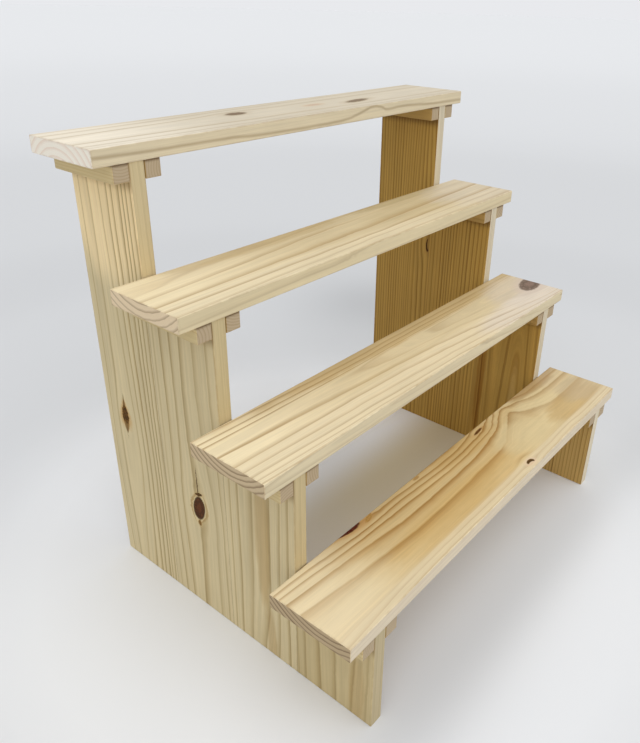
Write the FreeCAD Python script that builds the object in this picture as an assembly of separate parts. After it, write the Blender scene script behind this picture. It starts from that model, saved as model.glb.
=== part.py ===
import FreeCAD, Part
import os

from FreeCAD import Vector

# A stepped display stand of planed pine boards that takes apart without tools.
# Two stepped side panels stand on the floor. Each is glued up edge to edge from boards cut
# to one, two, three and four rises. A loose shelf lies on every pair of steps. Under each
# end of a shelf two strips, the cleats, straddle the side panel, so that the shelf drops
# over it and holds the two sides upright and apart.
#
# Millimetres. +X runs along the shelves, -Y is the front, +Z is up.
# The origin is at the middle of the footprint, on the floor.

# Steps
step_count = 4
step_rise = 146.0
side_board_width = 114.0      # each board of a side is also the depth of one step
board_thickness = 19.0        # sides and shelves are planed from the same stock

# Cleats
cleat_width = 20.0
cleat_height = 20.0
slip_clearance = 0.5          # between a side panel and each cleat beside it
cleat_rear_setback = 2.0      # from the shelf's rear edge to the end of its cleats

# Shelves
shelf_length = 692.0
side_inset = 43.0             # from the end of a shelf to the outer face of the side under it
nosing = 1.5                  # how far a shelf's front edge stands proud of its step
riser_gap = 1.5               # between a shelf's rear edge and the riser behind it

# Eased edges
shelf_arris = 1.4             # radius of a shelf's long edges, as planed
panel_arris = 0.7             # sanded flat round the outline of a glued-up side
sawn_arris = 0.5              # sanded flat at the shelves' sawn ends and on the cleats

# Brads that pin each cleat to its shelf, driven up from below
brads_per_cleat = 3
brad_shank_width = 1.3
brad_shank_depth = 1.0
brad_head_width = 2.1
brad_head_height = 0.8
brad_point_height = 2.0
brad_head_sink = 0.4          # head below the cleat's underside
brad_point_cover = 7.0        # timber left over the point, under the shelf's top
brad_end_distance = 15.0      # from the end of the cleat to its first brad

same_place = 1e-6             # lengths closer than this count as equal

# Sizes that follow from the ones above
step_run = side_board_width
side_depth = step_count * step_run
shelf_width = step_run + nosing - riser_gap
side_spread = shelf_length - 2 * side_inset
cleat_length = shelf_width - nosing - cleat_rear_setback
brad_length = cleat_height + board_thickness - brad_head_sink - brad_point_cover
overall_depth = side_depth + nosing
side_front = nosing - overall_depth / 2


def step_front(step):
    """Y of the riser face at the front of a step. Step 1 is the lowest and foremost."""
    return side_front + (step - 1) * step_run


def step_height(step):
    """Z of the sawn top of a step, where its shelf lies."""
    return step * step_rise


def edges_along(shape, axis):
    """The straight edges of a shape that run along an axis, given as 'x', 'y' or 'z'."""
    found = []
    for edge in shape.Edges:
        direction = edge.Vertexes[-1].Point - edge.Vertexes[0].Point
        if abs(abs(getattr(direction, axis)) - edge.Length) < same_place:
            found.append(edge)
    return found


def edges_at_ends(shape, axis):
    """The edges round the two flat ends of a shape, where it starts and stops along axis."""
    side = axis.upper()
    low = getattr(shape.BoundBox, side + "Min")
    high = getattr(shape.BoundBox, side + "Max")
    found = []
    for edge in shape.Edges:
        at_low = abs(getattr(edge.BoundBox, side + "Max") - low) < same_place
        at_high = abs(getattr(edge.BoundBox, side + "Min") - high) < same_place
        if at_low or at_high:
            found.append(edge)
    return found


def planed_board(length, width, thickness, corner, long_radius, end_chamfer):
    """A board with its grain along X: long edges rounded first, then its sawn ends sanded."""
    board = Part.makeBox(length, width, thickness, corner)
    board = board.makeFillet(long_radius, edges_along(board, "x"))
    return board.makeChamfer(end_chamfer, edges_at_ends(board, "x"))


def stepped_outline(x):
    """The closed outline of a side panel in the plane at x: floor, rear edge and steps."""
    points = [Vector(x, side_front, 0), Vector(x, side_front + side_depth, 0)]
    for step in range(step_count, 0, -1):
        points.append(Vector(x, step_front(step) + step_run, step_height(step)))
        points.append(Vector(x, step_front(step), step_height(step)))
    points.append(points[0])
    return Part.makePolygon(points)


def side_panel(low_x):
    """One side, glued up and sanded all round, before it is told apart into its boards."""
    blank = Part.Face(stepped_outline(low_x)).extrude(Vector(board_thickness, 0, 0))
    outline = []
    for edge in blank.Edges:
        if edge.BoundBox.XLength < same_place:
            outline.append(edge)
    return blank.makeChamfer(panel_arris, outline)


def side_boards(low_x):
    """The boards of one side, front to rear, cut out of the sanded panel at the glue lines."""
    panel = side_panel(low_x)
    boards = []
    for step in range(1, step_count + 1):
        corner = Vector(low_x, step_front(step), 0)
        slab = Part.makeBox(board_thickness, step_run, step_height(step), corner)
        boards.append(panel.common(slab).Solids[0])
    return boards


def shelf_board(step):
    """A shelf lying on one step, with its front edge proud of the riser faces."""
    corner = Vector(-shelf_length / 2, step_front(step) - nosing, step_height(step))
    return planed_board(shelf_length, shelf_width, board_thickness, corner, shelf_arris, sawn_arris)


def cleat_places():
    """Low X of each cleat under a shelf, by its place beside the left or right side."""
    outer_face = side_spread / 2
    inner_face = outer_face - board_thickness
    outer = outer_face + slip_clearance
    inner = inner_face - slip_clearance - cleat_width
    return {
        "left_outer": -outer - cleat_width,
        "left_inner": -inner - cleat_width,
        "right_inner": inner,
        "right_outer": outer,
    }


def cleat(step, low_x):
    """A square strip under a shelf, running front to rear, flush with the riser face."""
    corner = Vector(low_x, step_front(step), step_height(step) - cleat_height)
    strip = Part.makeBox(cleat_width, cleat_length, cleat_height, corner)
    return strip.makeChamfer(sawn_arris, strip.Edges)


def rectangle(centre, width, depth):
    """A level rectangle, width along X and depth along Y, as a wire."""
    corners = []
    for along, across in ((-1, -1), (1, -1), (1, 1), (-1, 1), (-1, -1)):
        corners.append(centre + Vector(along * width / 2, across * depth / 2, 0))
    return Part.makePolygon(corners)


def brad(foot):
    """One brad, standing on the centre of its head: head, shank and chisel point."""
    head = Part.Face(rectangle(foot, brad_head_width, brad_shank_depth))
    head = head.extrude(Vector(0, 0, brad_head_height))
    shank_foot = foot + Vector(0, 0, brad_head_height)
    shank_top = foot + Vector(0, 0, brad_length - brad_point_height)
    shank = Part.Face(rectangle(shank_foot, brad_shank_width, brad_shank_depth))
    shank = shank.extrude(shank_top - shank_foot)
    tip = foot + Vector(0, 0, brad_length)
    chisel_width = brad_shank_width / 5
    base_wire = rectangle(shank_top, brad_shank_width, brad_shank_depth)
    tip_wire = rectangle(tip, chisel_width, brad_shank_depth)
    point = Part.makeLoft([base_wire, tip_wire], True, True)
    return head.fuse([shank, point]).removeSplitter()


def brads_of_shelf(step):
    """All the brads of one shelf: a row up the middle of each of its cleats."""
    first = step_front(step) + brad_end_distance
    pitch = (cleat_length - 2 * brad_end_distance) / (brads_per_cleat - 1)
    foot_height = step_height(step) - cleat_height + brad_head_sink
    brads = []
    for low_x in cleat_places().values():
        for number in range(brads_per_cleat):
            foot = Vector(low_x + cleat_width / 2, first + number * pitch, foot_height)
            brads.append(brad(foot))
    return Part.makeCompound(brads)


def all_nodes():
    """Every sub-part of the stand by name, in its place."""
    nodes = {}
    low_x_of_side = {"left": -side_spread / 2, "right": side_spread / 2 - board_thickness}
    for side, low_x in low_x_of_side.items():
        for number, board in enumerate(side_boards(low_x), start=1):
            nodes[f"{side}_side_board_{number}"] = board
    for step in range(1, step_count + 1):
        nodes[f"shelf_{step}_board"] = shelf_board(step)
        for place, low_x in cleat_places().items():
            nodes[f"shelf_{step}_{place}_cleat"] = cleat(step, low_x)
        nodes[f"shelf_{step}_brads"] = brads_of_shelf(step)
    return nodes


os.makedirs("parts", exist_ok=True)
for name, shape in all_nodes().items():
    shape.exportStep(f"parts/{name}.step")
    print(f"{name}: {len(shape.Solids)} solid, {shape.Volume / 1000:.1f} cm3, valid {shape.isValid()}")
print(f"overall {shelf_length:.1f} x {overall_depth:.1f} x {step_height(step_count) + board_thickness:.1f}")
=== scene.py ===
# %% [markdown]
# # A tiered display stand in pine
#
# The stand is four loose shelves on two stepped sides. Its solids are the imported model's, in
# metres, with X along the shelves, the front towards -Y and the floor at Z = 0. They already
# have the right shapes, down to the eased edges, so this lesson is about what makes pine look
# like pine: growth rings, late wood, fibres, knots and end grain. Every board gets its own, as
# no two real boards look alike.

# %% Load the frame
import math
import random

import bpy
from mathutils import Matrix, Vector


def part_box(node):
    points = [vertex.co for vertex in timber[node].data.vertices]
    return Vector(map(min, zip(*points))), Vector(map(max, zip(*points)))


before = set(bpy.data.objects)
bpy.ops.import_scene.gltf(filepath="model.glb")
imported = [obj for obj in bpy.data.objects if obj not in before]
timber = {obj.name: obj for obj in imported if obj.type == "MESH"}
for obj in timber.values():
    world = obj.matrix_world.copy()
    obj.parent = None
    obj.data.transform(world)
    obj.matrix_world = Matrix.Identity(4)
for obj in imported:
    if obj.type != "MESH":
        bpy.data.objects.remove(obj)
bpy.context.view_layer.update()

bpy.ops.object.select_all(action="DESELECT")
print("CAD nodes:", len(timber))

# %% [markdown]
# ## The view
#
# The stand is seen from its front left corner, a little above its top shelf. A lens of
# 34 mm on a 36 mm sensor sees about as wide as a telephone does. The small shift moves the
# picture, not the perspective.

# %% Camera
lens = bpy.data.cameras.new("camera")
lens.lens = 34.351
lens.sensor_width = 36.0
lens.shift_x = -0.0471
lens.shift_y = -0.0262
camera = bpy.data.objects.new("camera", lens)
camera.location = (-0.73327, -0.53110, 0.74837)
camera.rotation_euler = [math.radians(turn) for turn in (62.9365, -1.3380, -50.9318)]
bpy.context.scene.collection.objects.link(camera)
bpy.context.scene.camera = camera
bpy.context.scene.view_settings.view_transform = "Standard"
print("camera at", tuple(camera.location))

# %% [markdown]
# ## Arithmetic on sockets
#
# A procedural material is a formula, and a formula is easier to read as Python than as nodes.
# The class below wraps a socket. Adding, multiplying or comparing two of them adds the Math
# node that does it, so that `1 - mask` is a node too. Every other node comes from `node`.
# Colours are written as on a paint chart and turned into the linear light that shaders use.

# %% Colours
def srgb(red, green, blue):
    """A paint chart's colour, 0 to 255, in the linear light that shaders use."""
    def linear(part):
        part = part / 255
        return part / 12.92 if part <= 0.04045 else ((part + 0.055) / 1.055) ** 2.4
    return (linear(red), linear(green), linear(blue), 1.0)


def paints(**colours):
    """Colours by name, each as a paint chart gives it."""
    return {name: srgb(*parts) for name, parts in colours.items()}


print("a middle grey of 128 is", round(srgb(128, 128, 128)[0], 3), "in linear light")


# %% A socket that does sums
class Value:
    """An output socket, on which Python's arithmetic adds Math nodes."""

    def __init__(self, tree, socket=None):
        self.tree = tree
        self.socket = socket

    def node(self, kind, settings=None, sockets=None, out=0):
        """Adds a node: its settings first, then the values or links of its inputs."""
        made = self.tree.nodes.new("ShaderNode" + kind)
        for name, setting in (settings or {}).items():
            if name == "stops":
                place_stops(made.color_ramp, setting)
            elif name == "points":
                place_points(made.mapping, setting)
            else:
                setattr(made, name, setting)
        for name, value in (sockets or {}).items():
            if isinstance(value, Value):
                self.tree.links.new(value.socket, made.inputs[name])
            else:
                made.inputs[name].default_value = value
        return Value(self.tree, made.outputs[out])

    def maths(self, operation, *others):
        return self.node("Math", {"operation": operation}, dict(enumerate((self, *others))))

    def __add__(self, other):
        return self.maths("ADD", other)

    __radd__ = __add__

    def __sub__(self, other):
        return self.maths("SUBTRACT", other)

    def __rsub__(self, other):
        return self.node("Math", {"operation": "SUBTRACT"}, {0: other, 1: self})

    def __mul__(self, other):
        return self.maths("MULTIPLY", other)

    def __truediv__(self, other):
        return self.maths("DIVIDE", other)

    def __pow__(self, other):
        return self.maths("POWER", other)

    def size(self):
        return self.maths("ABSOLUTE")

    def bell(self):
        """1 at 0, falling away to 0, for a value that is a distance squared."""
        return (self * -1.0).maths("EXPONENT")

    def rise(self, low, high, shape="SMOOTHSTEP"):
        """0 below low, 1 above high, smooth or straight between. It falls if low > high."""
        if low > high:
            return 1 - self.rise(high, low, shape)
        sockets = {"Value": self, "From Min": low, "From Max": high}
        return self.node("MapRange", {"interpolation_type": shape}, sockets)

    def curve(self, points):
        """A height for every value, read from points (value, height) joined by a smooth curve."""
        low, high = points[0][0], points[-1][0]
        base = min(height for _, height in points)
        span = max(max(height for _, height in points) - base, 1e-6)
        placed = [((x - low) / (high - low), (y - base) / span) for x, y in points]
        share = self.rise(low, high, "LINEAR")
        found = self.node("FloatCurve", {"points": placed}, {"Value": share})
        return found * span + base


# %% Ramps and curves
def place_stops(ramp, stops):
    """Fixed steps of a colour ramp: one (place, colour) for each."""
    ramp.interpolation = "CONSTANT"
    while len(ramp.elements) < len(stops):
        ramp.elements.new(1.0)
    for element, (place, colour) in zip(ramp.elements, stops):
        element.position = place
        element.color = colour


def place_points(mapping, points):
    """The points of a float curve, which it joins smoothly."""
    mapping.use_clip = False
    curve = mapping.curves[0]
    while len(curve.points) < len(points):
        curve.points.new(0.5, 0.5)
    for point, place in zip(curve.points, points):
        point.location = place
        point.handle_type = "AUTO_CLAMPED"
    mapping.update()


# %% Vectors, clouds and mixtures
def part_of(vector, letter):
    """The x, y or z of a vector."""
    return vector.node("SeparateXYZ", None, {0: vector}, out="xyz".index(letter))


def joined(x, y, z=0.0):
    """A vector of three values."""
    lead = next(part for part in (x, y, z) if isinstance(part, Value))
    return lead.node("CombineXYZ", None, {0: x, 1: y, 2: z})


def noise(place, detail=2.0, roughness=0.5):
    """Cloudy noise from 0 to 1, a unit or so from cloud to cloud."""
    return place.node("TexNoise", None, {"Vector": place, "Scale": 1.0, "Detail": detail,
                                         "Roughness": roughness})


def tinted(share, below, above):
    """Two colours mixed: below where share is 0, above where it is 1."""
    return share.node("Mix", {"data_type": "RGBA"}, {0: share, 6: below, 7: above}, out=2)


def brightened(colour, factor):
    """A colour times a factor, which stays a colour."""
    return factor.node("VectorMath", {"operation": "SCALE"}, {0: colour, "Scale": factor})


OBJECT, NORMAL = 3, 1  # outputs of Texture Coordinate: the place, and the way the face looks
print("outputs used of Texture Coordinate:", OBJECT, NORMAL)

# %% [markdown]
# ## The floor
#
# The stand is on pale paper that runs on out of sight. Close by, it is real paper, which takes
# the stand's soft shadow. From 0.42 to 0.7 m out its tone falls, partly a drift of the paper and
# partly painted shade round the stand; further off it only drifts a little, as a sweep of paper
# does where it turns up, and beyond that the world has the same colour, so no horizon shows.
# Soft ovals of painted shade deepen it where a room would shade it, one oval of painted light
# lifts it, and between the sides it is tinted warmer, as painted light off the wood.

# %% Tones of the paper
pale_middle = (-0.07, 0.02)
# (distance in metres, tone); the fall from 0.42 to 0.7 m is partly painted shade round the stand
tones = [(0.0, 0.865), (0.42, 0.86), (0.7, 0.70), (1.0, 0.70), (1.3, 0.675), (1.7, 0.70),
         (2.6, 0.705), (3.2, 0.735), (4.0, 0.765), (6.0, 0.785), (9.0, 0.82), (14.0, 0.83)]
# painted shade on the paper; an oval with a strength below 0 is painted light
painted_shades = [  # middle x, y, reach along x, y, strength (below 0 is lighter)
    (0.0, -0.26, 0.45, 0.05, 0.18),
    (-0.28, -0.27, 0.2, 0.06, 0.08),
    (0.68, 0.52, 0.2, 0.2, 0.2),
    (-0.03, 0.07, 0.15, 0.06, 0.13),
    (0.22, 0.03, 0.15, 0.05, 0.06),
    (0.24, 0.14, 0.12, 0.04, -0.16),
]
cool_paper, wood_bounce_paper = (0.98, 0.998, 1.03, 1), (0.90, 0.815, 0.61, 1)
print("tones:", len(tones), "shades:", len(painted_shades))

# %% Floor
bpy.ops.mesh.primitive_circle_add(vertices=96, radius=30.0, fill_type="NGON")
floor = bpy.context.object
floor.name = "floor"
paper = bpy.data.materials.new("pale paper")
paper.use_nodes = True
paper_tree = Value(paper.node_tree)
where = paper_tree.node("TexCoord", out=OBJECT)
beside, ahead = part_of(where, "x"), part_of(where, "y")


def far_from(x, y, reach_x=1.0, reach_y=1.0):
    """The distance from a place on the floor, squared, in reaches."""
    return ((beside - x) / reach_x) ** 2.0 + ((ahead - y) / reach_y) ** 2.0


tone = (far_from(*pale_middle) ** 0.5).curve(tones)
# painted shade darkens the paper in each oval, and painted light lifts it where the strength is
# below 0
for *oval, strength in painted_shades:
    tone = tone * (1 - far_from(*oval).bell() * strength)
# painted light off the wood: the paper between the sides is tinted warmer
between_sides = beside.rise(0.33, 0.28) * beside.rise(-0.35, 0.1)
warm = between_sides * ahead.rise(0.14, 0.05) * ahead.rise(-0.17, 0.06)
paper_colour = brightened(tinted(warm, cool_paper, wood_bounce_paper), tone)
coat = paper.node_tree.nodes["Principled BSDF"]
paper.node_tree.links.new(paper_colour.socket, coat.inputs["Base Color"])
coat.inputs["Roughness"].default_value = 0.9
coat.inputs["Specular IOR Level"].default_value = 0.0
floor.data.materials.append(paper)
print("floor radius:", round(floor.dimensions.x / 2, 1), "m")

# %% [markdown]
# ## Light
#
# A studio for furniture is mostly white walls. Here they are an even glow from all round, and
# in front of them two wide lamps: one overhead, and one at the front left, as high as a tall
# window. Both are so wide that no shadow has an edge. Together they give a level surface just
# the light at which a colour looks as written. What the camera and a gloss see behind the
# stand is the colour of the paper far off, which lights nothing.

# %% Glow
glow = 0.46
glow_colour = (0.97 * glow, 0.985 * glow, 1.0 * glow, 1)
far_paper = (0.81, 0.82, 0.845, 1)
world = bpy.data.worlds.new("studio")
bpy.context.scene.world = world
world.use_nodes = True
sky = Value(world.node_tree)
camera_ray, glossy_ray, clear_ray = [sky.node("LightPath", out=i) for i in (0, 3, 6)]
seen = (camera_ray + glossy_ray + clear_ray).maths("MINIMUM", 1.0)
backdrop = tinted(seen, glow_colour, far_paper)
world.node_tree.links.new(backdrop.socket, world.node_tree.nodes["Background"].inputs["Color"])
print("glow:", glow)

# %% Lamps
lamps = {
    "overhead lamp": {"azimuth": 0, "elevation": 90, "spread": 60, "strength": 0.77},
    "window lamp": {"azimuth": 240, "elevation": 50, "spread": 90, "strength": 1.21},
}
level_light = glow
for name, lamp in lamps.items():
    light = bpy.data.lights.new(name, "SUN")
    light.angle = math.radians(lamp["spread"])
    light.energy = lamp["strength"]
    light.color = (1.0, 0.99, 0.97)
    stand_in = bpy.data.objects.new(name, light)
    turn, height = math.radians(lamp["azimuth"]), math.radians(lamp["elevation"])
    source = Vector((math.cos(turn) * math.cos(height), math.sin(turn) * math.cos(height),
                     math.sin(height)))
    stand_in.rotation_euler = source.to_track_quat("Z", "Y").to_euler()
    bpy.context.scene.collection.objects.link(stand_in)
    level_light += lamp["strength"] * math.sin(height) / math.pi
print("light on a level surface:", round(level_light, 2), "where 1 shows a colour as written")

# %% [markdown]
# ## Where a point is in its board
#
# Timber has a direction. So a board's material first turns a place in the stand into three
# lengths in millimetres: along the grain, across the board's width, and deep into its
# thickness. Everything after that is said in these.

# %% Board axes
MM = 1000.0  # millimetres in a metre


class Board:
    """A board of the model, with its axes and sizes: grain, width and thickness."""

    def __init__(self, name, grain, width, thickness):
        """Each axis is a letter and a sign, such as "-y" for a width counted from the rear."""
        self.name = name
        low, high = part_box(name)
        self.axes = []
        self.sizes = []
        for axis in (grain, width, thickness):
            letter = axis[-1]
            way = -1 if axis[0] == "-" else 1
            start = getattr(high if way < 0 else low, letter)
            self.axes.append((letter, start, way))
            self.sizes.append((getattr(high, letter) - getattr(low, letter)) * MM)
        self.middles = [size / 2 for size in self.sizes]
        if grain == "x":  # along a shelf, places count from its middle
            self.axes[0] = ("x", 0.0, 1)
            self.middles[0] = 0.0

    def place(self, tree):
        """Along, across and deep at a point of the board, in mm."""
        where = Value(tree).node("TexCoord", out=OBJECT)
        return [(part_of(where, letter) - start) * (MM * way) for letter, start, way in self.axes]

    def facing(self, tree, axis):
        """1 on faces that are square to an axis (0 grain, 1 width, 2 thickness), else 0."""
        normal = Value(tree).node("TexCoord", out=NORMAL)
        return part_of(normal, self.axes[axis][0]).size().rise(0.72, 0.9)


lowest = Board("shelf_1_board", "x", "-y", "-z")
print("a shelf's grain, width and thickness, mm:", [round(size, 1) for size in lowest.sizes])

# %% [markdown]
# ## Growth rings by lofting
#
# A sawn board cuts through the tree's rings, and each ring leaves a line on its face. A
# boat builder would draw such lines by lofting: mark where they cross at a few stations along
# the hull and let them run smoothly between. Here a station says at what distance across the
# board each ring line is reached. The count goes on with depth, so that the same rings turn
# the corner and show as arcs on the sawn end. They lean as they go down, because a tree's
# middle is seldom straight above a board's.

# %% Between stations
def smooth_between(place, places, heights):
    """Height at a place on the smooth curve through the heights at all places."""
    last = len(places) - 1
    if place <= places[0]:
        return heights[0]
    if place >= places[last]:
        return heights[last]
    low = max(i for i in range(last) if places[i] <= place)
    gap = places[low + 1] - places[low]

    def slope(i):
        before, after = max(i - 1, 0), min(i + 1, last)
        return (heights[after] - heights[before]) / (places[after] - places[before]) * gap

    t = (place - places[low]) / gap
    return ((2 * t ** 3 - 3 * t ** 2 + 1) * heights[low] + (t ** 3 - 2 * t ** 2 + t) * slope(low)
            + (3 * t ** 2 - 2 * t ** 3) * heights[low + 1] + (t ** 3 - t ** 2) * slope(low + 1))


print("half way from 0 to 10:", smooth_between(0.5, [0.0, 1.0], [0.0, 10.0]))


# %% Lofted rings
STEPS = 6  # points of a curve for each gap between stations


def station_share(along, places, chosen):
    """How much one station counts at a point: 1 at itself, 0 at every other station."""
    picked = [1.0 if i == chosen else 0.0 for i in range(len(places))]
    first, last = max(chosen - 2, 0), min(chosen + 2, len(places) - 1)
    steps = []
    for i in range(first, last):
        for part in range(STEPS):
            steps.append(places[i] + (places[i + 1] - places[i]) * part / STEPS)
    steps.append(places[last])
    return along.curve([(step, smooth_between(step, places, picked)) for step in steps])


def lofted_rings(along, across, stations):
    """The ring count at a point, from stations {place: [(distance across, line), ...]}."""
    places = sorted(stations)
    count = None
    for chosen, place in enumerate(places):
        here = across.curve(stations[place])
        share = station_share(along, places, chosen) * here
        count = share if count is None else count + share
    return count


def rings_round(across, deep, looks):
    """The ring count where the rings are circles round the middle of the tree."""
    out, up = across - looks["pith"][0], deep - looks["pith"][1]
    return (out * out + up * up) ** 0.5 / looks["spacing"]


def ring_count(place, bent, looks):
    """The ring count: lofted where the board has stations, and round where it has none."""
    along, _, deep = place
    if "stations" in looks:
        leaning = bent - deep * looks.get("lean", 0.0)
        count = lofted_rings(along, leaning, looks["stations"]) + deep / looks["ring_depth"]
    else:
        count = rings_round(bent, deep, looks)
    return count * looks.get("closer", 1.0)


# %% Rings at a station
def rings(*marks):
    """Points (distance across, ring count). At a bare distance the next whole line crosses."""
    pairs = [i for i, mark in enumerate(marks) if isinstance(mark, tuple)]
    points = [marks[0]]
    for start, stop in zip(pairs, pairs[1:]):
        bare = marks[start + 1:stop]
        before, after = marks[start][1], marks[stop][1]
        low = math.floor(min(before, after)) + 1
        lines = sorted(range(low, low + len(bare)), reverse=after < before)
        points += [*zip(bare, lines), marks[stop]]
    return points


print("rings((0, 2.5), 10, 20, (30, 5)) is", rings((0, 2.5), 10, 20, (30, 5)))

# %% [markdown]
# ## Late wood
#
# Each ring starts pale and open in spring, turns golden over the summer and darkens into a
# hard thin line, which stops sharply where the next spring begins. How dark that line is and
# how broad the gold before it differs from year to year, so every ring has its own, drawn
# once and kept. A few are given one by one.

# %% Late wood
RINGS = 32  # as many steps as a colour ramp can hold


def ring_looks(seed, darkness, breadth, chosen):
    """A ramp step for each ring: red is its darkness, green its breadth, blue its tone."""
    draw = random.Random(seed)
    stops = []
    for ring in range(RINGS):
        dark = darkness * draw.uniform(0.5, 1.0)
        broad = breadth * draw.uniform(0.75, 1.25)
        tone = draw.uniform(0.0, 1.0)
        dark, broad = chosen.get(ring + 1, (dark, broad))
        stops.append((ring / RINGS, (dark, broad, tone, 1.0)))
    return stops


def late_wood(count, looks, soft):
    """Late wood from 0 to 1, its ring's darkness and tone, and how far its year has gone."""
    count = count - soft * 0.8
    ring = count.maths("FLOOR")
    year = count - ring
    turn = ((ring + 0.5) / RINGS).maths("FRACT")
    look = turn.node("ValToRGB", {"stops": looks}, {0: turn})
    dark, broad, tone = [look.node("SeparateColor", None, {0: look}, out=i) for i in range(3)]
    late = ((year - 1 + broad) / broad).maths("MAXIMUM", 0.0)
    return late * year.rise(1.0, 1.0 - soft), dark, tone, year


print("rings before their looks repeat:", RINGS)

# %% [markdown]
# ## Knots
#
# A knot is a branch cut through. The rings of the trunk part round it like water round a
# stone, so first the distance across is pulled towards the knot, which spreads the lines out.
# Then the knot's own wood is laid on: a reddish core with rings and cracks, a dark rim, an
# amber halo where resin gathered and, on some, a dark split that runs out along the grain.
# Some lie in an eye, the lens of wood that closed over the branch. A branch ends somewhere,
# so the eye and the halo fade before they reach the board's other face.

# %% A knot's looks
def knot(along, across, length, width, **more):
    """A knot's place and half sizes in mm, with the usual looks unless others are given."""
    paint = {"dark": (66, 36, 18), "red": (112, 66, 38), "heart": (84, 46, 24),
             "amber": (206, 160, 100), "crack": (92, 70, 34)}
    looks = {"reach": 2.0, "stretch": 2.6, "push": 0.85, "turn": 0.0, "taper": 0.0,
             "ragged": 0.35, "rim": 0.7, "halo": 0.5, "soft": 0.12, **paint, **more}
    looks.update(along=along, across=across, length=length, width=width)
    looks.update({part: srgb(*looks[part]) for part in paint})
    return looks


def parted(along, across, knot):
    """The distance across, with the grain parted round a knot."""
    side = across - knot["across"]
    away = ((along - knot["along"]) / (knot["length"] * knot["stretch"])) ** 2.0
    away = away + (side / (knot["width"] * knot["reach"])) ** 2.0
    return across - side * (away.bell() * knot["push"])


print("the usual knot has", len(knot(0, 0, 1, 1)), "looks")


# %% What a knot is made of
EYE_ENDS = (16.0, 9.0)  # mm into the board: an eye is gone at one, whole at the other


def knot_core(radius, rough, x, y, knot):
    """The wood inside a knot: rings, a darker heart and cracks that run out from it."""
    rings = (radius * 8.0 + rough * 9.0).maths("SINE") * 0.5 + 0.5
    spoke = joined(x / (radius + 0.1) * 3.0, y / (radius + 0.1) * 3.0, radius * 0.5)
    cracks = noise(spoke, 2.0).rise(0.60, 0.70) * radius.rise(0.9, 0.3)
    inside = tinted(rings, knot["dark"], knot["red"])
    inside = tinted(radius.rise(0.8, 0.2) * 0.7, inside, knot["heart"])
    return tinted(cracks * 0.7, inside, knot["dark"])


def eye_round(colour, x, y, rough, deep, knot):
    """The colour with the eye of a knot laid over it, filled and outlined."""
    long, wide, fill, line = knot["eye"]
    bow = 1 - (x * (knot["length"] / long)) ** 2.0
    out = y.size() * (knot["width"] / wide) / bow.maths("MAXIMUM", 0.05) + rough * 0.5
    shown = bow.rise(0.0, 0.1) * deep.rise(*EYE_ENDS)
    colour = tinted(out.rise(1.05, 0.8) * shown * 0.8, colour, fill)
    return tinted((out - 1.0).size().rise(0.25, 0.05) * shown * 0.7, colour, line)


def split_along(colour, ahead, side, rough, knot):
    """The colour with the dark split that runs out of a knot along the grain."""
    before, after, breadth = knot["split"]
    middle, half = (after - before) / 2, (after + before) / 2
    left = (1 - (ahead - middle).size() / half).maths("MAXIMUM", 0.001)
    line = ((side + rough * 4.0).size() / (left * breadth)).rise(1.0, 0.35)
    return tinted(line * left.rise(0.0, 0.12) * 0.9, colour, knot["crack"])


print("an eye is gone", EYE_ENDS[0], "mm into the board")


# %% A knot laid over the wood
def knot_wood(colour, along, across, deep, knot):
    """The colour with a knot laid over it."""
    cosine, sine = math.cos(math.radians(knot["turn"])), math.sin(math.radians(knot["turn"]))
    ahead, side = along - knot["along"], across - knot["across"]
    x = (ahead * cosine + side * sine) / knot["length"]
    y = (side * cosine - ahead * sine) / knot["width"] / (1.0 + x * knot["taper"])
    rough = noise(joined(along * 0.22, across * 0.22, deep * 0.1 + knot["along"]), 3.0) - 0.5
    radius = (x * x + y * y) ** 0.5 * (deep * 0.02 + 1.0) + rough * knot["ragged"]
    core = radius.rise(1.0 + knot["soft"], 1.0 - knot["soft"])
    if "bite" in knot:  # a sickle: the part of the core that an oval leaves
        bite_x, bite_y = knot["bite"]
        left_out = ((x - bite_x) * (x - bite_x) + (y - bite_y) * (y - bite_y)) ** 0.5
        core = core * left_out.rise(0.85, 1.1)
    halo = radius.rise(2.2, 0.9) * knot["halo"]
    if "eye" in knot:
        halo = halo * deep.rise(*EYE_ENDS)
    colour = tinted(halo, colour, knot["amber"])
    if "eye" in knot:
        colour = eye_round(colour, x, y, rough, deep, knot)
    if "split" in knot:
        colour = split_along(colour, ahead, side, rough, knot)
    colour = tinted(core, colour, knot_core(radius, rough, x, y, knot))
    if "bite" not in knot:
        rim = (radius - 0.97).size().rise(0.2, 0.0) * rough.rise(-0.3, 0.0)
        colour = tinted(rim * knot["rim"], colour, knot["dark"])
    return colour


# %% [markdown]
# ## Pine
#
# Now the whole finish. Low noise makes the rings waver, fine noise drawn out along the grain
# makes the fibres, and the sawn ends show the rings darker and greyer, because the cut fibres
# stand open there. The narrow edges are paler than the faces. A real board isn't even, so it
# has patches of other wood, and calm ones where the lines all but fade. Hands and packing rub
# the corners, so along every arris the wood is a little browner and smoother, in patches. Where
# a board lies on another and light doesn't reach, painted shade makes it browner too.

# %% Pine colours
PALE = paints(
    early=(234, 214, 174), late=(176, 140, 82), tan=(188, 148, 88), warm=(208, 176, 118),
    edge=(228, 212, 176), end_early=(204, 184, 154), end_late=(134, 112, 86))
GLUE_LINE = srgb(96, 74, 44)
# colours of the painted shade under a shelf and under its cleats
PAINTED_SHADE_UNDER_SHELF = srgb(90, 66, 38)
PAINTED_SHADE_UNDER_CLEAT = srgb(108, 78, 36)
RUBBED = srgb(150, 112, 66)
print("colours of pale pine:", ", ".join(PALE))

# %% Grain and patches
# How long and how wide the clouds of each noise are, in mm.
SWAY, TREMBLE = (110.0, 45.0), (30.0, 9.0)
FIBRE, STRAND, CLOUD = (36.0, 0.8), (100.0, 4.0), (90.0, 26.0)
WEAR = (13.0, 9.0)


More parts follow.
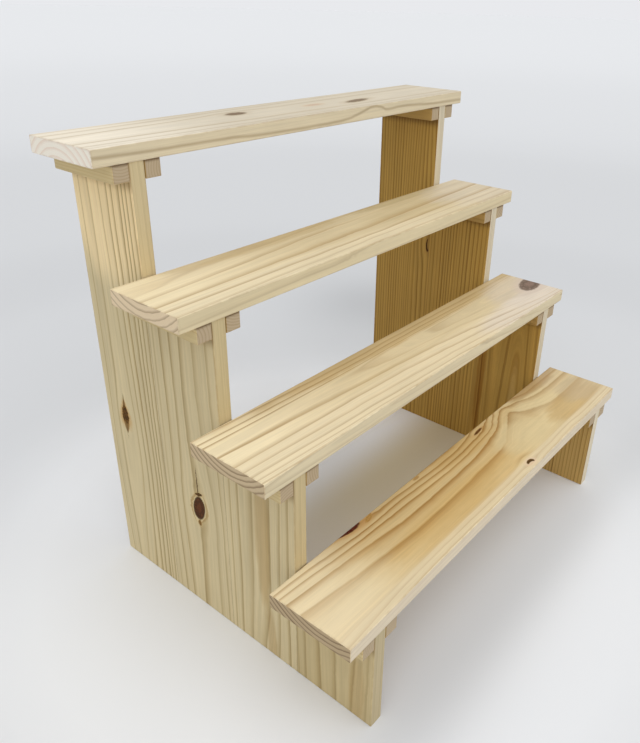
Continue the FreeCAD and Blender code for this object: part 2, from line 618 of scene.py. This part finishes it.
def grained(place, size, shift, detail, roughness=0.5):
    """Noise drawn out along the grain, with clouds of a size in mm."""
    along, across, deep = place
    length, width = size
    return noise(joined(along / length + shift, across / width, deep / width), detail, roughness)


def patch(along, across, length, width, strength, **more):
    """A patch's middle and half sizes in mm, how strongly it shows, and any other looks."""
    return dict(more, along=along, across=across, length=length, width=width, strength=strength)


def patch_share(place, shift, patch):
    """How much a patch shows at a point: its strength inside an uneven oval, and 0 outside."""
    along, across, _ = place
    x = (along - patch["along"]) / patch["length"]
    y = (across - patch["across"]) / patch["width"]
    wave = noise(joined(along / 38.0, across / 12.0, shift), 2.0) - 0.5
    share = (x * x + y * y + wave * patch.get("ragged", 0.9)).rise(1.2, 0.4)
    return share * patch["strength"]


print("a fibre is about", FIBRE[0], "mm long and", FIBRE[1], "mm wide")


# %% Lines and the wood between them
def ring_lines(place, count, late, dark, shift, looks):
    """The golden summer wood and the dark line at its end, each from 0 to 1."""
    fading = noise(joined(place[0] / 150.0, count * 1.7, shift), 1.0)
    band = (late * dark * (fading * 0.9 + 0.6)).maths("MINIMUM", 1.0)
    for patch in looks.get("calm", []):
        band = band * (1 - patch_share(place, shift, patch))
    return band, (band * late ** 0.8 * 1.25).maths("MINIMUM", 1.0)


def spring_wood(place, year, shaded_inside, shift, looks, colours):
    """The colour between the lines, with painted light on one end and patches of other wood."""
    colour = colours["early"]
    # painted light: the left end of a shelf paler, as if more light fell on it
    if "pale_end" in looks:
        start, stop, share, end_colour = looks["pale_end"]
        colour = tinted(place[0].rise(start, stop) * share, colour, end_colour)
    for patch in looks.get("patches", []):
        share = patch_share(place, shift, patch)
        if "by_year" in patch:  # such a patch deepens from spring to autumn
            share = share * (year * patch["by_year"] + (1 - patch["by_year"]))
        if patch.get("outside"):
            share = share * (1 - shaded_inside)
        colour = tinted(share, colour, patch.get("colour", colours["tan"]))
    return colour


def edge_wood(place, lines, tremble, shift, looks, colours):
    """The colour of the narrow edges, some with a streak along the front one."""
    along, across, deep = place
    colour = tinted(lines * looks.get("edge_lines", 0.7), colours["edge"], colours["late"])
    if "streak" in looks:
        streak = (deep - along.curve(looks["streak"]) + tremble).size().rise(3.4, 0.0)
        strength = noise(joined(along / 60.0, shift), 2.0) * 0.3 + 0.45
        colour = tinted(streak * across.rise(100.0, 108.0) * strength, colour, colours["late"])
    return colour


# %% Ends, joints and arrises
ARRIS = (2.5, 0.4)  # mm from a corner: rubbing starts at one, is full at the other
GLUE = (0.9, 0.2)  # the same for the line of a glue joint
SHELF_SHADE = (4.0, 0.3)  # mm under a shelf, down the cleats
CLEAT_SHADE = (36, 21)  # mm under a shelf, where its cleats end on a side's face


def sawn_end(place, late, dark, colours):
    """The colour of a sawn end, and its pores."""
    along, across, deep = place
    pores = noise(joined(across * 1.6, deep * 1.6, along * 0.05), 2.0, 0.7)
    lines = (late * (dark * 0.5 + 0.7)).maths("MINIMUM", 1.0)
    colour = tinted(lines, colours["end_early"], colours["end_late"])
    return brightened(colour, pores * 0.24 + 0.88), pores


def joints_and_painted_shade(colour, board, place, narrow, looks):
    """The colour with glue lines, and a browner painted shade where light doesn't reach under a
    shelf.
    """
    along, across, deep = place
    if looks.get("glued"):
        colour = tinted(across.rise(*GLUE) * (1 - narrow) * 0.55, colour, GLUE_LINE)
    # painted shade: browner at a cleat's top under the shelf, and on a side's face below the
    # cleats
    crevice, strength = looks.get("crevice", ("", 0.0))
    if crevice == "top":
        colour = tinted(deep.rise(*SHELF_SHADE) * strength, colour, PAINTED_SHADE_UNDER_SHELF)
    elif crevice == "face":
        start, stop = [board.sizes[0] - under for under in CLEAT_SHADE]
        colour = tinted(along.rise(start, stop) * (1 - narrow) * strength, colour, PAINTED_SHADE_UNDER_CLEAT)
    return colour


def near_arris(board, place, glued):
    """1 along the arrises of a board, where two of its faces meet. A glued edge has none."""
    close = []
    for part, middle, size in zip(place, board.middles, board.sizes):
        from_middle = part - middle
        if not (glued and len(close) == 1):
            from_middle = from_middle.size()
        start, stop = [size / 2 - inside for inside in ARRIS]
        close.append(from_middle.rise(start, stop))
    grain, width, deep = close
    return (grain * width + width * deep + deep * grain).maths("MINIMUM", 1.0)


print("rubbing reaches", ARRIS[0], "mm from a corner")


# %% The pine material
def pine(board, looks):
    """A pine material for one board, from its stations, knots and colours."""
    material = bpy.data.materials.new(board.name + " pine")
    material.use_nodes = True
    tree = material.node_tree
    colours = {**PALE, **looks.get("colours", {})}
    shift = random.Random(board.name).uniform(0.0, 500.0)
    place = along, across, deep = board.place(tree)
    ends, narrow = board.facing(tree, 0), board.facing(tree, 1)

    sway = grained(place, SWAY, shift, 1.0) - 0.5
    tremble = grained(place, TREMBLE, shift, 1.0) - 0.5
    bent = across + sway * looks.get("sway", 2.4) + tremble * 0.7
    for each in looks.get("knots", []):
        bent = parted(along, bent, each)
    count = ring_count(place, bent, looks)
    ramp = ring_looks(board.name, looks["darkness"], looks["breadth"], looks.get("lines", {}))
    late, dark, tone, year = late_wood(count, ramp, looks.get("soft", 0.12))
    band, lines = ring_lines(place, count, late, dark, shift, looks)
    if "pith" in looks and "stations" in looks:
        round_pith = rings_round(across + sway * 5.0 + tremble * 1.5, deep + tremble * 1.5, looks)
        late, dark, *_ = late_wood(round_pith, ramp, 0.14)
    end_colour, pores = sawn_end(place, late, dark, colours)

    shaded_inside = None
    # the other colour is painted shade: a deeper, oranger copy of the wood on the inner face
    if "inner" in looks:  # a side's inner face has wood of another colour
        start, stop, inner = looks["inner"]
        shaded_inside = deep.rise(start, stop)
        for part in inner:
            colours[part] = tinted(shaded_inside, colours[part], inner[part])
    early = spring_wood(place, year, shaded_inside, shift, looks, colours)
    face = tinted(lines, tinted(band * 0.6, early, colours["warm"]), colours["late"])
    colour = tinted(narrow, face, edge_wood(place, lines, tremble, shift, looks, colours))

    fibre = grained(place, FIBRE, shift, 3.0, 0.6)
    strand = grained(place, STRAND, shift, 2.0)
    cloud = grained(place, CLOUD, shift, 3.0, 0.6)
    faint = noise(joined(count * 7.0, along / 260.0, shift), 3.0, 0.6)
    light = 1.0 + (fibre - 0.5) * 0.13 + (strand - 0.5) * 0.15 + (cloud - 0.5) * 0.16
    light = light + (faint - 0.5) * looks.get("faint", 0.25) + (tone - 0.5) * 0.05
    colour = tinted(ends, brightened(colour, light), end_colour)
    for each in looks.get("knots", []):
        colour = knot_wood(colour, along, across, deep, each)
    colour = joints_and_painted_shade(colour, board, place, narrow, looks)
    worn = near_arris(board, place, looks.get("glued"))
    worn = worn * grained(place, WEAR, shift, 3.0).rise(0.35, 0.65)
    colour = tinted(worn * 0.22, colour, RUBBED)

    shader = tree.nodes["Principled BSDF"]
    tree.links.new(colour.socket, shader.inputs["Base Color"])
    rough = 0.60 + (fibre - 0.5) * 0.16 - lines * 0.10 + ends * 0.2 - worn * 0.12
    tree.links.new(rough.socket, shader.inputs["Roughness"])
    relief = lines * 0.35 + fibre * 0.6 + ends * pores * 1.2
    bump = relief.node("Bump", None, {"Strength": 0.35, "Distance": 0.00012, "Height": relief})
    tree.links.new(bump.socket, shader.inputs["Normal"])
    shader.inputs["Specular IOR Level"].default_value = 0.12
    return material


# %% Dressing a board
def dress(board, looks):
    """Gives a CAD node its own pine."""
    mesh = timber[board.name].data
    mesh.materials.clear()
    mesh.materials.append(pine(board, looks))
    print(board.name, "pine has", len(mesh.materials[0].node_tree.nodes), "nodes")


print("pieces to dress in pine:", sum(not name.endswith("_brads") for name in timber))

# %% [markdown]
# ## The shelves
#
# The shelves are flat sawn: their rings lie nearly level in the thickness and come up to the
# face in long lines. Distances across count from the rear edge, and places along from the
# middle. The lowest shelf is the liveliest board, with tan heartwood, a knot split by its rear
# edge and two small ones that the lines swerve round.

# %% Shelf 1
shelf_1 = {
    "colours": paints(
        early=(226, 206, 160), late=(148, 104, 46), tan=(194, 158, 96), warm=(196, 152, 82),
        edge=(229, 214, 188), end_early=(192, 170, 136), end_late=(108, 84, 58)),
    "darkness": 0.9, "breadth": 0.5, "ring_depth": 4.2, "lean": 0.8,
    "pith": (75, -78), "spacing": 6.5,
    "lines": {2: (0.4, 0.5), 3: (0.5, 0.92), 4: (0.8, 0.62), 5: (0.85, 0.5), 6: (0.9, 0.6),
              7: (0.8, 0.6)},
    "stations": {
        -346: rings((-14, 8), -6, 5.5, 13.5, 25, 46, (80, 2.2), 101, 111, (124, 5.3)),
        -240: rings((-12, 8), -3, 9.5, 20.5, 33.5, 58, (82, 2.2), 98, 105, (124, 6)),
        -130: rings((-10, 8.4), 6, 15, 25.5, 42.5, 64.5, (84, 2.2), 97, 104, (124, 6.5)),
        0: rings((-12, 9), 11.5, 20, 28.5, 41, 62, (85, 2.2), 98, 106, (124, 6.5)),
        83: rings((-14, 8), 2, 11, 21.5, 31.5, 56, (80, 2.15), 97, 105, (124, 6.5)),
        108: rings((-14, 7.4), -4, 6, 16.5, 26, 44, (76, 2.12), 97, 105, (124, 6.5)),
        132: rings((-14, 6.6), -7, 6, 15, 32, (72, 2.1), 97, 105, (124, 6.5)),
        152: rings((-14, 5.8), -5, 6.5, 22, (46, 2.5), (74, 2.1), 97, 104, (124, 6.5)),
        163: rings((-14, 5.6), -6, 5, 20, (44, 2.5), (74, 2.1), 97, 104, (124, 6.5)),
        178: rings((-14, 6), -3, 9, 33, (52, 2.6), (78, 2.15), 97, 104, (124, 6.5)),
        198: rings((-14, 6.2), 1, 12.5, 42, (78, 2.2), 97, 104, (124, 6.5)),
        228: rings((-14, 6.6), -6, 8, 22.5, 52, (80, 2.2), 97, 106, (124, 6)),
        260: rings((-14, 6.9), -3, 9.5, 27, 55, (80, 2.2), 98, 106, (124, 6)),
        346: rings((-14, 6.8), -2, 10.5, 27.5, 55, (80, 2.2), 98, 105, (124, 6)),
    },
    "pale_end": (-150, -330, 0.9, srgb(238, 220, 182)),
    "patches": [
        patch(-75, 30, 200, 72, 0.7, ragged=0.5, by_year=0.4),
        patch(262, 80, 85, 27, 0.55),
        patch(270, 2, 90, 20, 0.7, colour=srgb(176, 140, 88)),
        patch(-70, 80, 190, 32, 0.32, ragged=0.6, colour=srgb(205, 160, 76)),
        patch(70, 14, 120, 22, 0.3, ragged=0.6, colour=srgb(196, 156, 82)),
        patch(310, 68, 60, 30, 0.4, colour=srgb(192, 172, 134)),
        patch(340, 57, 80, 90, 0.35, colour=srgb(198, 178, 150)),
        patch(120, 62, 66, 36, 0.7, ragged=0.4, colour=srgb(218, 198, 152)),
        patch(0, 112, 900, 17, 0.75, ragged=0.3, colour=srgb(225, 208, 174)),
        patch(-73, 4, 7, 2.5, 0.8, colour=srgb(170, 130, 74)),
    ],
    "calm": [
        patch(0, 106, 900, 17, 0.75, ragged=0.2),
        patch(120, 66, 60, 34, 0.8, ragged=0.3),
        patch(290, 40, 120, 60, 0.45),
        patch(-346, 40, 140, 80, 0.4),
    ],
    "knots": [
        knot(-213, -2, 21, 7, dark=(66, 18, 4), red=(112, 50, 28), taper=0.35, heart=(84, 28, 8),
             rim=0.8, ragged=0.3, push=0.7),
        knot(-178, 5, 9, 3.4, push=0.5, turn=-18, dark=(166, 124, 62), ragged=0.9,
             red=(196, 156, 90), heart=(184, 142, 78), halo=0.3, rim=0.4),
        knot(82, 9, 12, 2.1, turn=-6, dark=(92, 56, 22), red=(132, 90, 44), heart=(100, 62, 26),
             reach=4.0, stretch=2.0, soft=0.3),
        knot(64, 104, 8, 4.5, dark=(72, 50, 18), red=(112, 80, 38), reach=3.4, heart=(84, 58, 24),
             bite=(-0.35, 1.1), amber=(236, 206, 176)),
    ],
}

# %% [markdown]
# The second shelf is calm at its left, with a strong pair of lines near the front, and a big
# mauve knot is cut through by its right end.

# %% Shelf 2
shelf_2 = {
    "colours": paints(
        early=(221, 203, 164), late=(146, 108, 54), tan=(192, 162, 106), warm=(204, 170, 112),
        edge=(226, 212, 179), end_early=(209, 187, 152), end_late=(122, 98, 70)),
    "darkness": 0.6, "breadth": 0.5, "ring_depth": 4.0, "lean": 2.4,
    "pith": (64, -58), "spacing": 6.5,
    "lines": {2: (0.2, 0.45), 3: (0.25, 0.45), 4: (0.3, 0.45), 5: (0.75, 0.5), 6: (0.7, 0.5),
              7: (0.6, 0.5), 8: (0.7, 0.5), 9: (0.6, 0.5), 10: (0.7, 0.5)},
    "stations": {
        -346: rings((-14, 9), -5, 1, 11.5, 20.5, (31, 4.3), (38, 4.3), 46, 71, 85, 97, 105, 112,
                    (126, 12)),
        -100: rings((-14, 9.2), -3, 9.5, 18, 25.5, (30, 4.1), (35, 4), 61.5, 78, 94, 105.5, 112,
                    (126, 11)),
        70: rings((-14, 9), -2, 9, 17, 24.5, 28, (34, 3), (43, 3), 58, 75, 91, 103, 113,
                  (126, 9.4)),
        220: rings((-14, 9), -2, 11, 20, 27, 30, 33, (37, 2.1), (41, 2), 60, 79, 92, 105, 115,
                   (126, 8)),
        346: rings((-14, 9), 0, 12, 21, 29, 32, 35, 38, (43, 1.3), 64, 80, 94, 103, 112,
                   (126, 7.5)),
    },
    "pale_end": (-90, -330, 0.95, srgb(243, 227, 190)),
    "patches": [
        patch(0, 100, 900, 34, 0.75, ragged=0.3, colour=srgb(232, 216, 182)),
        patch(60, 8, 370, 23, 0.7, by_year=0.2),
        patch(300, 62, 90, 60, 0.6, ragged=0.5, colour=srgb(216, 202, 182)),
        patch(270, 98, 170, 34, 0.55, ragged=0.5, colour=srgb(224, 213, 202)),
    ],
    "calm": [
        patch(290, 50, 110, 60, 0.6),
        patch(0, 88, 900, 44, 0.4, ragged=0.2),
    ],
    "knots": [
        knot(333, 60, 32, 15, dark=(104, 88, 74), red=(146, 124, 108), turn=-12,
             heart=(136, 112, 98), amber=(214, 196, 180), halo=0.8, rim=0.7, reach=1.9),
    ],
}

# %% [markdown]
# The third shelf has only four bold lines, which sweep to the rear as they go right, and a tan
# streak along its rear left. The top shelf is a creamier, greyer board with thin grey knots.
# One line runs along its front edge and swerves up over a hump, so it is drawn point by point.

# %% Shelves 3 and 4
shelf_3 = {
    "colours": paints(
        early=(217, 199, 160), late=(146, 108, 54), tan=(196, 170, 118), warm=(204, 172, 114),
        edge=(226, 210, 173), end_early=(236, 214, 180), end_late=(160, 136, 104)),
    "darkness": 0.6, "breadth": 0.45, "ring_depth": 4.6, "lean": 2.5,
    "pith": (52, -62), "spacing": 8.0,
    "lines": {3: (0.2, 0.5), 4: (0.4, 0.5), 5: (0.55, 0.5), 6: (0.55, 0.5), 7: (0.3, 0.5)},
    "stations": {
        -346: rings((-14, 6.0), (1, 4.2), (8, 3.5), (18, 2.9), (32, 2.8), (45, 3.4), 56, 80, 95.5,
                    113, (130, 8.2)),
        -100: rings((-20, 2.3), 14, 37, 70, 90.5, 104, (130, 8.8)),
        0: rings((-20, 2.4), 8, 30, 66, 88, 99, (130, 9)),
        346: rings((-20, 2.6), -2, 22, 46, 76.5, 93, (130, 9)),
    },
    "pale_end": (-60, -320, 0.95, srgb(245, 229, 192)),
    "patches": [
        patch(-160, 104, 420, 28, 0.75, ragged=0.3, colour=srgb(232, 217, 184)),
        patch(150, 50, 130, 34, 0.35, colour=srgb(196, 176, 132)),
        patch(-130, 8, 165, 19, 0.5, by_year=0.2),
        patch(170, 6, 130, 16, 0.5, colour=srgb(186, 164, 114)),
        patch(360, 64, 170, 90, 0.5, colour=srgb(222, 211, 194)),
    ],
    "calm": [
        patch(210, 24, 260, 17, 0.75, ragged=0.3),
        patch(-300, 8, 160, 14, 0.5, ragged=0.3),
    ],
}

shelf_4 = {
    "colours": paints(
        early=(214, 203, 182), late=(166, 144, 108), tan=(222, 202, 172), warm=(208, 190, 156),
        edge=(227, 212, 180), end_early=(255, 247, 232), end_late=(240, 218, 198)),
    "darkness": 0.6, "breadth": 0.55, "ring_depth": -4.4,
    "pith": (50, 58), "spacing": 8.5,
    "stations": {
        -346: rings((-14, 9), 3, 20, 41, (60, 5.5), 84, 100, 109, (126, 10)),
        -130: rings((-14, 9), 4, 15, 34, (56, 5.3), 88, 106, 112, (126, 9.6)),
        346: rings((-14, 8.4), 4, 29, (60, 5.2), (70, 5.3), 92, 110, (126, 8.2)),
    },
    "edge_lines": 0.3,
    "streak": [(-346, 8.9), (-270, 10.6), (-180, 11.2), (-120, 13.6), (-45, 14.7), (20, 14.6),
               (48, 13.3), (66, 10.6), (84, 6.7), (97, 3.7), (107, 2.1), (120, 3.2), (133, 6.4),
               (146, 9.2), (174, 8.1), (214, 9.3), (264, 11.8), (346, 13.0)],
    "pale_end": (-110, -320, 0.95, srgb(243, 233, 214)),
    "knots": [
        knot(-90, 43, 16, 9, dark=(118, 98, 74), red=(152, 132, 104), soft=0.3, turn=-4,
             heart=(124, 102, 78), amber=(200, 184, 156), ragged=0.5, rim=0.3),
        knot(126, 69, 27, 8, dark=(124, 106, 82), red=(158, 138, 110), soft=0.3, turn=-8,
             heart=(128, 108, 84), amber=(200, 182, 152), ragged=0.5, rim=0.3),
        knot(44, 56, 14, 5, push=0.5, dark=(200, 174, 150), red=(210, 188, 166), soft=0.4,
             heart=(204, 178, 154), halo=0.3, rim=0.1),
    ],
}

for number, looks in enumerate((shelf_1, shelf_2, shelf_3, shelf_4), start=1):
    dress(Board(f"shelf_{number}_board", "x", "-y", "-z"), looks)

# %% [markdown]
# ## The sides
#
# Each side is edge-glued from four boards that stand on end, and each glue line shows as a thin
# dark line. The left side is seen from outside: straight golden lines, and two knots with dark
# splits. Distances across count from the rear again, and places along from the floor.

# %% Dressing a side
def dress_side(side, shared, boards):
    """Dresses a side's boards, front to rear, in its shared looks and each board's own."""
    start, stop, inner = shared["inner"]
    for number, own in enumerate(boards, start=1):
        looks = {**shared, **own, "glued": number < len(boards)}
        looks["colours"] = {**shared["colours"], **own.get("colours", {})}
        looks["inner"] = (start, stop, {**inner, **own.get("inside", {})})
        dress(Board(f"{side}_side_board_{number}", "z", "-y", "x"), looks)


# %% Left side
left_wood = paints(
    early=(215, 198, 157), late=(134, 106, 52), tan=(180, 146, 88), warm=(194, 166, 106),
    edge=(208, 190, 148), end_early=(200, 178, 146), end_late=(146, 118, 88))
# painted shade: the sides' inner faces in a deeper, oranger copy of the wood
shaded_inner_wood = paints(
    early=(188, 151, 78), late=(100, 62, 10), tan=(146, 98, 34), warm=(160, 116, 44))
left_1 = {
    "colours": paints(early=(203, 184, 140), edge=(194, 178, 142)),
    "darkness": 0.55, "breadth": 0.5, "ring_depth": 9.0,
    "stations": {
        0: rings((-14, 0.4), (4, 2), 15, 39, 62, 85, 106, (128, 8)),
        60: rings((-14, 0.5), (2, 2), 14, 36, 60, 87, 107, (128, 8)),
        146: rings((-14, 0.7), (0, 2), 12, 31, 58, 92, 108, (128, 8)),
    },
    "patches": [
        patch(40, 92, 70, 12, 0.4, by_year=0.3),
    ],
}
left_2 = {
    "darkness": 0.65, "breadth": 0.45, "ring_depth": 9.0,
    "stations": {
        0: rings((-14, 0), (8, 2), 20, 37, 60, 84, 104, (128, 9)),
        100: rings((-14, 0), (9, 2), 22.5, 43, 72, 88, 103, (128, 9)),
        292: rings((-14, 0), (11, 2), 24, 48, 75, 92, 104, (128, 9)),
    },
    "patches": [
        patch(190, 61, 130, 13, 0.6, by_year=0.3),
        patch(20, 72, 60, 8, 0.5, by_year=0.3),
    ],
}
left_3 = {
    "darkness": 0.62, "breadth": 0.42, "ring_depth": 8.0, "closer": -1.0,
    "stations": {
        0: rings((-14, 0), (8, 2), 20, 35, 59, 91, 106, (128, 9)),
        160: rings((-14, 0), (6, 2), 17, 33, 63, 91, 106, (128, 9)),
        300: rings((-14, 0), (6, 2), 19, 36, 52, 78, 101, (128, 9)),
        438: rings((-14, 0), (6, 2), 18, 36, 55, 75, 98, 112, (128, 9)),
    },
    "knots": [
        knot(166, 63, 18, 10, turn=13, split=(40, 70, 2.2), heart=(96, 48, 10), dark=(64, 34, 0),
             red=(102, 56, 14), amber=(224, 202, 152), halo=0.5, reach=1.9, rim=0.95,
             eye=(28, 14.5, srgb(222, 202, 155), srgb(172, 138, 82))),
        knot(188, 64, 2.4, 6.5, turn=-20, dark=(84, 58, 16), red=(116, 84, 36), heart=(74, 46, 10),
             amber=(206, 170, 112), halo=0.4, push=0.0, ragged=0.9),
        knot(142, 62, 4, 3, dark=(132, 96, 44), red=(160, 122, 66), ragged=0.9,
             heart=(120, 84, 34), amber=(206, 176, 118), halo=0.5, push=0.0),
    ],
}
left_4 = {
    "colours": paints(edge=(214, 196, 155)),
    "lines": {1: (0.6, 0.25), 2: (0.55, 0.28), 3: (0.6, 0.25), 4: (0.65, 0.45), 5: (0.75, 0.6),
              6: (0.7, 0.6), 7: (0.8, 0.6), 8: (0.7, 0.6), 9: (0.6, 0.6)},
    "darkness": 0.6, "breadth": 0.6, "ring_depth": 8.0,
    "patches": [
        # paler towards the top of the outer face
        patch(545, 57, 120, 90, 0.9, ragged=0.4, colour=srgb(255, 230, 180), outside=True),
    ],
    "stations": {
        0: rings((-14, -1), (14, 1), 29, 48, 67, 80, 88, 98, 103, 110, (128, 11)),
        180: rings((-14, -1), (9, 1), 24, 62, 74, 83, 93, 99, 105, 113, (128, 11)),
        300: rings((-14, -1), (12, 1), 29, 58, 70, 80, 90, 97, 104, 112, (128, 11)),
        480: rings((-14, -1), (12, 1), 30, 52, 66, 76, 89, 96, 103, 112, (128, 11)),
        584: rings((-14, -1), (12, 1), 29, 50, 66, 75, 89, 95, 102, 110, (128, 11)),
    },
    "knots": [
        knot(248, 39, 13, 6.6, split=(42, 34, 1.8), dark=(62, 38, 0), red=(140, 94, 24),
             heart=(82, 50, 0), amber=(206, 160, 92), halo=0.8, ragged=0.9, reach=1.9, rim=0.6,
             taper=-0.3, eye=(30, 5, srgb(122, 86, 26), srgb(150, 108, 44))),
    ],
}

left_looks = {"colours": left_wood, "inner": (9, 16, shaded_inner_wood), "sway": 1.3, "faint": 0.35,
              "soft": 0.1, "crevice": ("face", 0.5), "edge_lines": 0.3}
dress_side("left", left_looks, [left_1, left_2, left_3, left_4])

# %% [markdown]
# The right side shows its inner face, which is closer grained and, as painted shade, a deeper
# orange. Its second board was cut near the middle of the tree's side, so its lines close in a
# tall arch. Both sides have that orange on their inner faces as painted shade, where the shelves
# keep light off, and are paler outside.

# %% Right side
right_wood = {**left_wood, **paints(early=(214, 195, 150), late=(132, 102, 46),
                                    edge=(222, 210, 184), end_early=(198, 176, 144))}
right_1 = {
    # the painted shade of this board's inner face is a little paler
    "inside": paints(early=(198, 164, 100)), "closer": 1.6,
    "stations": {
        0: rings((-14, -1), (4, 1), 13, 24, 33, 43, 52, 61, 70, 80, 89, 99, 109, (128, 14)),
        146: rings((-14, -1), (5, 1), 14, 23, 34, 42, 53, 61, 71, 79, 90, 98, 110, (128, 14)),
    },
}
right_2 = {
    "darkness": 0.55,
    "stations": {
        0: rings((-14, 7), 2, 14, 30, 50, 66, (79, 1.3), 90, 104, (128, 5)),
        110: rings((-14, 7), 2, 14, 29, 54, 70, (79, 1.6), 88, 102, (128, 5)),
        200: rings((-14, 7), 2, 13, 27, 58, (79, 2), 97, (128, 5.2)),
        292: rings((-14, 7), 3, 12, 25, 66, (79, 2.6), 90, (128, 5.4)),
    },
    "patches": [
        patch(150, 14, 170, 9, 0.8, by_year=0.3),
        patch(60, 79, 130, 10, 0.5, colour=srgb(200, 168, 104)),
    ],
}
right_3 = {
    "closer": 1.8, "darkness": 0.75,
    "stations": {
        0: rings((-14, 0), (8, 2), 21, 33, 43, 52, 62, 74, 90, 102, (128, 12)),
        438: rings((-14, 0), (9, 2), 22, 34, 42, 53, 62, 75, 89, 103, (128, 12)),
    },
}
right_4 = {
    "closer": 1.7, "darkness": 0.75,
    "stations": {
        0: rings((-14, -1), (8, 1), 17, 27, 36, 46, 55, 64, 73, 84, 99, (128, 12)),
        348: rings((-14, -1), (8, 1), 17, 27, 36, 45, 54, 62, 70, 78, 94, (128, 12)),
        584: rings((-14, -1), (7, 1), 18, 26, 37, 46, 56, 64, 74, 82, 92, 102, (128, 13)),
    },
    "knots": [
        knot(350, 111, 12, 3.4, dark=(60, 35, 5), red=(84, 50, 16), heart=(60, 35, 5), reach=4.0,
             ragged=0.15, bite=(0.3, 0.75), halo=0.3, amber=(160, 118, 60)),
    ],
}

right_looks = {"colours": right_wood, "inner": (10, 3, shaded_inner_wood), "darkness": 0.68,
               "breadth": 0.6, "ring_depth": 8.0, "sway": 1.2, "faint": 0.85,
               "crevice": ("face", 0.8), "edge_lines": 0.45}
dress_side("right", right_looks, [right_1, right_2, right_3, right_4])

# %% [markdown]
# ## The cleats
#
# Cleats are ripped from offcuts, so each has rings round a middle that lies somewhere outside
# its own small square section. Where that is, and how close the rings are, is drawn for each.
# The inner cleats are darker and oranger, as painted shade like the sides' inner faces.

# %% Cleats
CLEAT_MIDDLE = 10.0  # mm: a cleat is 20 mm square
cleats = sorted(name for name in timber if name.endswith("_cleat"))
for name in cleats:
    draw = random.Random(name)
    turn, away = math.radians(draw.uniform(0, 360)), draw.uniform(24, 48)
    pith = (CLEAT_MIDDLE + away * math.cos(turn), CLEAT_MIDDLE + away * math.sin(turn))
    # an inner cleat's darker, oranger wood is painted shade, as on the sides' inner faces
    if "inner" in name:
        faces = paints(early=(186, 152, 90), late=(120, 84, 30), tan=(160, 120, 58),
                       edge=(186, 152, 90))
    else:
        faces = paints(early=(220, 200, 152), late=(176, 142, 86), tan=(190, 160, 106),
                       edge=(218, 198, 150))
    dress(Board(name, "y", "x", "-z"), {
        "colours": {**faces, "end_early": srgb(192, 173, 144), "end_late": srgb(172, 149, 118)},
        "darkness": 0.7, "breadth": 0.55, "pith": pith, "spacing": draw.uniform(3.0, 4.5),
        "sway": 1.0, "crevice": ("top", 0.75)})
print("cleats:", len(cleats))

# %% [markdown]
# ## The brads
#
# Bright drawn wire is steel with faint lengthwise marks, so only its tone and gloss waver.

# %% Brads
steel = bpy.data.materials.new("bright wire")
steel.use_nodes = True
wire = steel.node_tree.nodes["Principled BSDF"]
wire.inputs["Metallic"].default_value = 1.0
wire_tree = Value(steel.node_tree)
spot = wire_tree.node("TexCoord", out=OBJECT)
scratch = wire_tree.node("TexNoise", None, {"Vector": spot, "Scale": 900.0, "Detail": 3.0})
sheen = tinted(scratch, srgb(150, 150, 148), srgb(206, 206, 202))
steel.node_tree.links.new(sheen.socket, wire.inputs["Base Color"])
steel.node_tree.links.new((scratch * 0.25 + 0.25).socket, wire.inputs["Roughness"])
brads = [node for name, node in timber.items() if name.endswith("_brads")]
for node in brads:
    node.data.materials.clear()
    node.data.materials.append(steel)
print("groups of brads:", len(brads))
